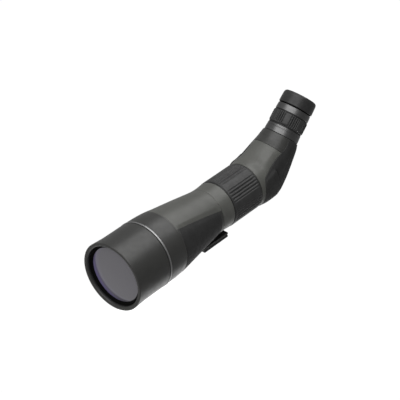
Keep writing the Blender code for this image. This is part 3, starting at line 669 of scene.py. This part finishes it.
def housing_point(level, turn, lift=0.0):
    """A point of the housing, in millimetres. level counts the sections, and turn is measured from the
    right-hand side up; lift is the distance outside the surface."""
    level, turn, lift = np.broadcast_arrays(np.asarray(level, float), turn, lift)
    values = smooth_curve(SECTION_TABLE, np.clip(level, 0, LAST))
    top, bottom = values[..., 0:2], values[..., 2:4]
    middle, up = (top + bottom) / 2, top - bottom
    half_height = np.linalg.norm(up, axis=-1) / 2
    up = up / (2 * half_height[..., None])
    power = np.where(np.sin(turn) >= 0, values[..., 5], values[..., 6])
    across = (values[..., 4] + lift) * signed_power(np.cos(turn), 2 / power)
    rise = (half_height + lift) * signed_power(np.sin(turn), 2 / power)
    station = middle[..., 0] + up[..., 0] * rise
    height = middle[..., 1] + up[..., 1] * rise
    return np.stack([across, station - FOOT_STATION, AXIS_HEIGHT + height], -1)


def housing_bevel(level, turn):
    """How far the painted top falls away beside the armour, on a flat bevel with a crease along its top."""
    across = np.abs(housing_point(level, turn)[..., 0])
    fall = np.clip((across - TOP_CREASE) / (HOUSING_EDGE - TOP_CREASE), 0, 1.3) * 0.8
    return fall * smooth_step(level, 1.2, 4.5) * (1 - smooth_step(level, 6.6, 7.9)) * (np.sin(turn) > 0)


def housing_shell(name, levels, sinks, slot, replaced):
    """A shell with the housing's outside between levels, sunk by its own amount at each of them."""
    turns = even_turns(168)
    sink = sinks[:, None] + housing_bevel(levels[:, None], turns[None, :])
    outer = housing_point(levels[:, None], turns[None, :], -sink)
    inner = housing_point(levels[:, None], turns[None, :], -2.6)[::-1]
    faces = grid_faces(2 * len(levels), len(turns), True, True)
    piece = mesh_piece(name, np.vstack([outer, inner]), faces, "scope", *made_of(slot))
    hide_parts(replaced)


def even_turns(count):
    """Turns that space points evenly round a nearly square section."""
    turns = np.linspace(0, 2 * np.pi, count, endpoint=False)
    return turns + 0.06 * np.sin(4 * turns)


def make_housing():
    """The olive prism housing and the darker collar that ends it."""
    levels = np.concatenate([[0, 0.02, 0.06], np.linspace(0.15, 7.85, 56), [7.92, 7.96, 7.985]])
    sinks = np.interp(levels, [0, 0.03, 0.06, 7.93, 7.96, 7.985], [0.4, 0.08, 0, 0, 0.06, 0.35])
    housing_shell("prism_housing_shell", levels, sinks, "olive_paint", "prism_housing")
    levels = np.concatenate([[8.015, 8.04, 8.08], np.linspace(8.2, 11.85, 26), [11.93, 11.97, 12.0]])
    sinks = np.interp(levels, [8.015, 8.04, 8.08, 11.9, 11.96, 12.0], [0.35, 0.06, 0, 0, 0.1, 0.5])
    housing_shell("eyepiece_collar_shell", levels, sinks, "charcoal_metal", "eyepiece_collar")


# The armour's upper edge, as the turn at each level. Then its front edge and the rear edge of its raised
# pad, as the level at each turn.
UPPER_TURNS = np.array([(0.0, 33.0), (1.55, 35.0), (2.8, 39.0), (4.5, 42.0), (5.9, 41.5), (7.0, 38.5),
                        (7.85, 35.5), (8.55, 32.0), (9.25, 30.5), (10.6, 31.0), (12.0, 31.0)])
FRONT_LEVELS = np.array([(-90.0, 0.75), (-40.0, 0.72), (5.0, 0.80), (15.0, 0.92), (25.0, 1.12), (35.0, 1.55),
                         (45.0, 1.9)])
STEP_LEVELS = np.array([(-90.0, 2.6), (-45.0, 3.0), (-25.0, 3.55), (-13.5, 4.2), (-3.5, 4.4), (10.0, 4.55),
                        (24.0, 4.65), (30.0, 4.6)])

ARMOUR_GIRTH = 62.0      # rough lengths in mm that turn shares of the armour into distances from its edges
ARMOUR_LENGTH = 100.0
ARMOUR_TAIL = 60.0
EDGE_DISTANCES = np.array([0, 0.1, 0.3, 0.6, 1.0, 1.6, 2.4])


def armour_turn(level, share):
    """The turn at a share of the way from the upper edge, at 0, to the lowest line, at 1."""
    top = np.radians(smooth_curve(UPPER_TURNS, np.clip(level, 0, LAST))[..., 0])
    return top + (-np.pi / 2 - top) * share


def armour_lift(level, turn, edge):
    """How far the armour stands off the housing: a rounded edge, a raised flank pad and faint ribs."""
    degrees = np.degrees(turn)
    rounding = np.sqrt(np.clip(1 - (1 - np.clip(edge, 0, 1)) ** 2, 0, 1))
    step = np.interp(degrees, STEP_LEVELS[:, 0], STEP_LEVELS[:, 1])
    inside = smooth_step(step - level, -0.10, 0.10)
    above = 1 - smooth_step(degrees, 24, 33)
    below = smooth_step(degrees, -32, -24)
    pad = 1.4 * inside * above * below
    groove = 0.8 * np.exp(-((level - step - 0.18) / 0.12) ** 2) * above * below
    rib_zone = smooth_step(level, 4.9, 5.6) * (1 - smooth_step(level, 8.2, 9.2))
    rib_zone = rib_zone * (1 - smooth_step(degrees, 2, 14)) * smooth_step(degrees, -64, -52)
    rib = -0.5 * (0.5 + 0.5 * np.cos(degrees * 2 * np.pi / 8.5)) * rib_zone
    stand = 1.0 + 0.4 * smooth_step(edge, 2.0, 8.0)
    return -0.5 + stand * rounding + (pad + rib - groove) * smooth_step(edge, 0.2, 2.0)


def make_armour():
    """The rubber over the housing's flanks and underside, made as a right half and its mirror image."""
    down = np.concatenate([EDGE_DISTANCES / ARMOUR_GIRTH, np.linspace(0.06, 1, 50)])
    along = np.concatenate([EDGE_DISTANCES / ARMOUR_LENGTH, np.linspace(0.04, 0.985, 76),
                            [0.992, 0.997, 1.0]])
    share, step = np.meshgrid(down, along)
    first = np.degrees(armour_turn(np.full_like(share, 1.3), share))
    front = np.interp(first, FRONT_LEVELS[:, 0], FRONT_LEVELS[:, 1])
    end = LAST - 0.05
    level = front + (end - front) * step
    turn = armour_turn(level, share)
    edge = np.minimum(share * ARMOUR_GIRTH, step * ARMOUR_LENGTH)
    edge = np.minimum(edge, (1 - step) * ARMOUR_TAIL + 0.1)
    outer = housing_point(level, turn, armour_lift(level, turn, edge))
    inner = housing_point(level, turn, -0.9)
    mirror = np.array([-1.0, 1.0, 1.0])
    outer = np.concatenate([outer, (outer * mirror)[:, -2::-1]], 1)
    inner = np.concatenate([inner, (inner * mirror)[:, -2::-1]], 1)
    rows, columns = outer.shape[:2]
    count = rows * columns
    faces = grid_faces(rows, columns, False, False) + grid_faces(rows, columns, False, False, count)
    rim = ([(0, c) for c in range(columns)] + [(r, columns - 1) for r in range(1, rows)]
           + [(rows - 1, c) for c in range(columns - 2, -1, -1)] + [(r, 0) for r in range(rows - 2, 0, -1)])
    for k, (row, column) in enumerate(rim):
        after = rim[(k + 1) % len(rim)]
        a, b = row * columns + column, after[0] * columns + after[1]
        faces.append((a, b, b + count, a + count))
    points = np.vstack([outer.reshape(-1, 3), inner.reshape(-1, 3)])
    piece = mesh_piece("housing_armour", points, faces, "scope", *made_of("armour_rubber"), sharp=50)
    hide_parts("prism_side_panel_right", "prism_side_panel_left")


# Eyepiece ---------------------------------------------------------------------------------------

def make_eyepiece():
    """The fixed rings of the eyepiece, and the eyecup with its core."""
    scale = [(58.7, 22.6), (58.7, 25.8), (59.2, 26.2), (66.6, 25.9), (66.8, 25.5), (67.2, 25.5),
             (67.4, 25.8), (70.4, 25.7), (70.9, 25.2), (70.9, 22.6)]
    piece = turned("zoom_scale_ring", EYE, scale, "scope", *made_of("bright_metal"), steps=160, cut=0.12,
                   longest=3)
    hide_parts("scale_ring")
    upper = [(92.4, 22.6), (92.4, 25.1), (93, 25.6), (101.6, 25.1), (102.2, 24.5), (102.2, 22.6)]
    piece = turned("eyepiece_top_ring", EYE, upper, "scope", *made_of("bright_metal"), steps=160, cut=0.2,
                   longest=3)
    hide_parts("eyepiece_upper_ring")
    sleeve = [(102.6, 21.7), (102.6, 24), (103.5, 24), (103.5, 23.1), (120.2, 23.1), (120.2, 20.3),
              (109.6, 20.3), (109.6, 21.7)]
    # The core's near-black surface makes the gap under the cup read dark: painted shade.
    piece = turned("eyecup_core", EYE, sleeve, "eyecup", "black_metal", [BAFFLE_BLACK_AND_GAP_SHADE], steps=144, cut=0.15)
    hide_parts("eyecup_sleeve")
    cup = [(103.8, 23.4), (103.8, 25.5), (104.3, 25.8), (111.5, 25.6), (118.3, 25.3), (120.9, 24.4),
           (122.3, 22.6), (122.3, 19), (121.4, 18), (120.5, 18), (120.5, 23.4)]
    piece = turned("eyecup_soft_rim", EYE, cup, "eyecup", *made_of("seal_rubber"), cut=1.2, count=5,
                   longest=3)
    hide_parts("eyecup_rubber")


def bar(axis, reaches, radius, turn, half_width):
    """The corners and faces of a thin raised bar on a ring, along the axis between two reaches."""
    angle = half_width / radius
    points = [axis.place(reach, level, turn + side * angle)
              for reach in reaches for side in (-1, 1) for level in (radius - 0.3, radius + 0.05)]
    quads = [(0, 1, 3, 2), (4, 6, 7, 5), (0, 4, 5, 1), (2, 3, 7, 6), (0, 2, 6, 4), (1, 5, 7, 3)]
    return points, quads


def make_bars(name, axis, bars, body, slot, material):
    """One piece of separate bars, each given as its reaches, radius, turn in degrees and half width."""
    points, faces = [], []
    for reaches, radius, turn, half_width in bars:
        corners, quads = bar(axis, reaches, radius, radians(turn), half_width)
        faces.extend(tuple(len(points) + k for k in quad) for quad in quads)
        points.extend(corners)
    mesh_piece(name, points, faces, body, slot, [material])


def make_markings():
    """Unlettered marks: a scale of ticks on the fixed ring, and an index line on the zoom ring."""
    ticks = []
    for k in range(21):
        length = 2.2 if k % 5 == 0 else 1.2
        ticks.append(((69.8 - length, 69.8), 25.72, -60 + 6 * k, 0.16))
    make_bars("zoom_scale_ticks", EYE, ticks, "scope", "bright_metal", DARK_MARK)
    index = [((73.8, 76.0), 26.1, 74.6, 0.35), ((73.8, 76.0), 26.1, -54.0, 0.35)]
    make_bars("zoom_index_lines", EYE, index, "zoom_ring", "grip_rubber", LIGHT_MARK)


# Studio -----------------------------------------------------------------------------------------

CAMERA_PLACE = (1.209241, -1.426972, 1.418329)
CAMERA_AZIMUTH = 40.547      # degrees from straight in front of the lens towards +X
CAMERA_ELEVATION = 35.814
CAMERA_LENS = 150.58
FLOOR_HEIGHT = -0.90
FLOOR_CORNERS = ((-0.75, -0.45), (0.45, 0.75))
# The sine of an elevation, and how bright the studio is there.
DOME = ((-1.0, 0.45), (-0.75, 0.42), (-0.58, 0.33), (-0.2, 0.29), (0.1, 0.29), (0.35, 0.32), (0.6, 0.42),
        (1.0, 0.55))
DOME_LEFT = 1.3          # its strength at -X and at +X
DOME_RIGHT = 0.8


def make_camera():
    data = bpy.data.cameras.new("photo_camera")
    data.sensor_width = 36
    data.lens = CAMERA_LENS
    data.clip_end = 60
    camera = bpy.data.objects.new("photo_camera", data)
    bpy.context.scene.collection.objects.link(camera)
    tilt = Matrix.Rotation(radians(90 - CAMERA_ELEVATION), 4, "X")
    swing = Matrix.Rotation(radians(CAMERA_AZIMUTH), 4, "Z")
    camera.matrix_world = Matrix.Translation(CAMERA_PLACE) @ swing @ tilt
    bpy.context.scene.camera = camera


def make_floor():
    low, high = FLOOR_CORNERS
    mesh = bpy.data.meshes.new("floor")
    corners = [(low[0], low[1]), (high[0], low[1]), (high[0], high[1]), (low[0], high[1])]
    mesh.from_pydata([(x, y, FLOOR_HEIGHT) for x, y in corners], [], [(0, 1, 2, 3)])
    made = Material("floor_paper", grey(0.92), 0.9, Specular_IOR_Level=0.1)
    made.shader.inputs["Emission Color"].default_value = (1, 1, 1, 1)
    made.shader.inputs["Emission Strength"].default_value = 0.30
    made.bump(made.noise(40, 2), 0.02, 0.05)
    mesh.materials.append(made.material)
    floor = bpy.data.objects.new("floor", mesh)
    bpy.context.scene.collection.objects.link(floor)
    floor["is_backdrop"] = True


def area_light(name, place, target, size, power):
    data = bpy.data.lights.new(name, "AREA")
    data.shape = "RECTANGLE"
    data.size, data.size_y = size
    data.energy = power
    light = bpy.data.objects.new(name, data)
    light.location = place
    light.rotation_euler = (Vector(target) - Vector(place)).to_track_quat("-Z", "Y").to_euler()
    bpy.context.scene.collection.objects.link(light)
    return light


def make_world():
    """A soft dome: dimmest near the horizon, brighter above and below, and white to the camera."""
    world = bpy.data.worlds.new("studio")
    bpy.context.scene.world = world
    world.use_nodes = True
    nodes, links = world.node_tree.nodes, world.node_tree.links
    nodes.clear()
    place = nodes.new("ShaderNodeTexCoord")
    split = nodes.new("ShaderNodeSeparateXYZ")
    links.new(place.outputs["Generated"], split.inputs["Vector"])
    height = nodes.new("ShaderNodeMapRange")
    height.inputs["From Min"].default_value = -1.0
    links.new(split.outputs["Z"], height.inputs["Value"])
    ramp = nodes.new("ShaderNodeValToRGB")
    links.new(height.outputs["Result"], ramp.inputs["Fac"])
    fill_ramp(ramp, [(rise / 2 + 0.5, grey(level)) for rise, level in DOME])
    sideways = nodes.new("ShaderNodeMapRange")
    sideways.inputs["From Min"].default_value = -1.0
    sideways.inputs["To Min"].default_value = DOME_LEFT
    sideways.inputs["To Max"].default_value = DOME_RIGHT
    links.new(split.outputs["X"], sideways.inputs["Value"])
    dome = nodes.new("ShaderNodeBackground")
    links.new(ramp.outputs["Color"], dome.inputs["Color"])
    links.new(sideways.outputs["Result"], dome.inputs["Strength"])
    plain = nodes.new("ShaderNodeBackground")
    plain.inputs["Color"].default_value = (1.0, 1.0, 1.0, 1)
    plain.inputs["Strength"].default_value = 1.02
    path = nodes.new("ShaderNodeLightPath")
    mix = nodes.new("ShaderNodeMixShader")
    links.new(path.outputs["Is Camera Ray"], mix.inputs["Fac"])
    links.new(dome.outputs["Background"], mix.inputs[1])
    links.new(plain.outputs["Background"], mix.inputs[2])
    output = nodes.new("ShaderNodeOutputWorld")
    links.new(mix.outputs["Shader"], output.inputs["Surface"])


def make_studio():
    scene = bpy.context.scene
    scene.view_settings.view_transform = "Standard"
    scene.view_settings.look = "None"
    make_world()
    make_floor()
    area_light("back_softbox", (0.10, 1.36, 1.78), (0, 0, 0.05), (2.1, 1.3), 19)
    front = area_light("front_softbox", (0.30, -2.60, 0.90), (0, 0, 0.05), (1.6, 1.2), 36)
    front.visible_glossy = False     # so that the lens shows no image of it from in front
    area_light("overhead_softbox", (0.35, -1.15, 2.95), (0, 0.1, 0.1), (4.2, 3.2), 92)


# The whole --------------------------------------------------------------------------------------

def repaint(nodes):
    """Gives the CAD nodes that stay their procedural surfaces, and the foot a worn edge."""
    for node in nodes.values():
        for index, slot in enumerate(node.material_slots):
            name = slot.material.name.split(".")[0] if slot.material else ""
            if name in SURFACES:
                node.material_slots[index].material = SURFACES[name]
    bevel = nodes["tripod_foot"].modifiers.new("worn_edges", "BEVEL")
    bevel.width = 0.5 * MM
    bevel.segments = 3
    bevel.limit_method = "ANGLE"


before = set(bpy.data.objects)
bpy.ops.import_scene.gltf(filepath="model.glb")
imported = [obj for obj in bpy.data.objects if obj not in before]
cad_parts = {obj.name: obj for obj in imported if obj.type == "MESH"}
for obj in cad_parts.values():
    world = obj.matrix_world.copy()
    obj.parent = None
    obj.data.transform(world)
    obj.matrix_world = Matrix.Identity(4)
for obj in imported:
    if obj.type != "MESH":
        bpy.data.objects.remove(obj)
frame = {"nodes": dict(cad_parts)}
cad_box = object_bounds()
repaint(frame["nodes"])
make_sunshade()
make_objective()
make_trim_ring()
make_barrel()
make_grip_panels()
make_focus_ring()
make_housing()
make_armour()
make_eyepiece()
make_zoom_ring()
make_markings()
make_studio()
make_camera()


def plain(box):
    return [[float(c) for c in corner] for corner in box]


{"cad": plain(cad_box), "visual": plain(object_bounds())}
